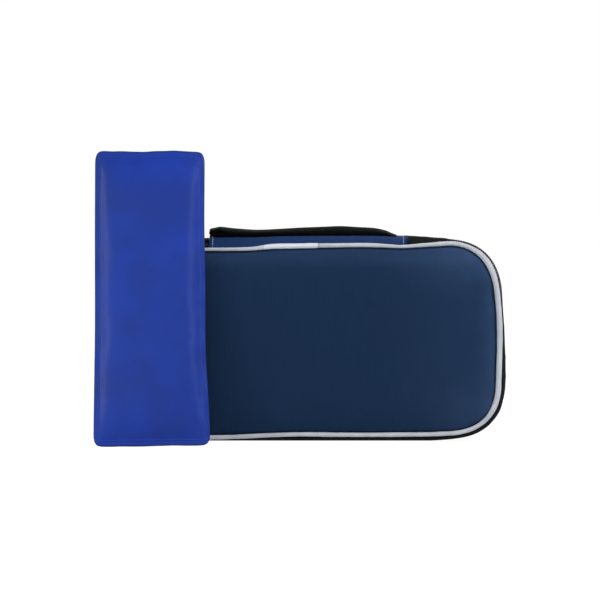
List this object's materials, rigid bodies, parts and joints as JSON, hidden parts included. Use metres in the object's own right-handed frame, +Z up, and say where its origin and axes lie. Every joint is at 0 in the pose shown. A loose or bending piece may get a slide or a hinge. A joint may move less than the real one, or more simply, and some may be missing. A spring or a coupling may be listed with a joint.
{
  "type": "insulin cooling case",
  "caption": "Soft zip-round insulated case with piped fabric panels, a folding spine, a webbing handle, pen loops, a mesh pocket and a loose gel pack.",
  "frame": {"origin": "on the flat underside of the front half's gusset, at the middle of the case's width, where the case stands", "axes": "+X along the case's length, to the right seen from the front; +Y from front panel to rear panel; +Z up"},
  "size_m": [0.2064, 0.0705, 0.1452],
  "materials": {
    "navy_nylon": "woven navy nylon",
    "silver_piping": "silver-grey woven piping",
    "black_nylon": "woven black nylon",
    "bright_blue_nylon": "woven blue nylon",
    "webbing": "ribbed black webbing",
    "zip_tape": "woven zip tape",
    "zip_coil": "nylon coil",
    "slider_metal": "dark gunmetal",
    "foam": "closed-cell foam",
    "foil_lining": "crinkled aluminised film",
    "elastic": "ribbed black elastic",
    "net": "black knitted net",
    "blue_vinyl": "welded blue vinyl",
    "gel": "soft gel"
  },
  "bodies": {
    "front_shell": {"front_panel": "navy_nylon", "front_piping": "silver_piping", "front_gusset": "black_nylon", "front_foam_board": "foam", "front_foam_wall": "foam", "front_lining": "foil_lining", "front_zip_tape": "zip_tape", "front_zip_coil": "zip_coil", "pen_band_left": "elastic", "pen_band_right": "elastic"},
    "spine": {"spine_panel": "bright_blue_nylon", "spine_foam": "foam", "spine_lining": "foil_lining", "handle_left_tail": "webbing", "handle_right_tail": "webbing"},
    "rear_shell": {"rear_panel": "navy_nylon", "rear_piping": "silver_piping", "rear_gusset": "black_nylon", "rear_foam_board": "foam", "rear_foam_wall": "foam", "rear_lining": "foil_lining", "rear_zip_tape": "zip_tape", "rear_zip_coil": "zip_coil", "mesh_pocket": "net", "pocket_binding": "elastic"},
    "handle": {"handle_strap": "webbing"},
    "slider": {"zip_slider": "slider_metal"},
    "pull": {"zip_pull": "slider_metal"},
    "gel_pack": {"pack_front_film": "blue_vinyl", "pack_back_film": "blue_vinyl", "gel_fill": "gel"}
  },
  "joints": [
    {"name": "spine_fold", "type": "hinge", "parent": "front_shell", "child": "spine", "pos_m": [0, -0.0063, 0.0979], "axis": [1, 0, 0], "range_deg": [0, 70]},
    {"name": "case_opening", "type": "hinge", "parent": "spine", "child": "rear_shell", "pos_m": [0, 0.0303, 0.0979], "axis": [1, 0, 0], "range_deg": [0, 70]},
    {"name": "handle_lift", "type": "slide", "parent": "spine", "child": "handle", "axis": [0, 0, 1], "range_m": [0, 0.014]},
    {"name": "slider_run", "type": "slide", "parent": "front_shell", "child": "slider", "axis": [0, 0, -1], "range_m": [0, 0.03]},
    {"name": "pull_swing", "type": "hinge", "parent": "slider", "child": "pull", "pos_m": [-0.10005, 0.012, 0.066], "axis": [0, 1, 0], "range_deg": [0, 150]},
    {"name": "gel_pack_lift", "type": "slide", "parent": "front_shell", "child": "gel_pack", "axis": [0, 0, 1], "range_m": [0, 0.16]}
  ],
  "couplings": [
    {"joint": "spine_fold", "follows": "case_opening", "ratio": 1}
  ]
}
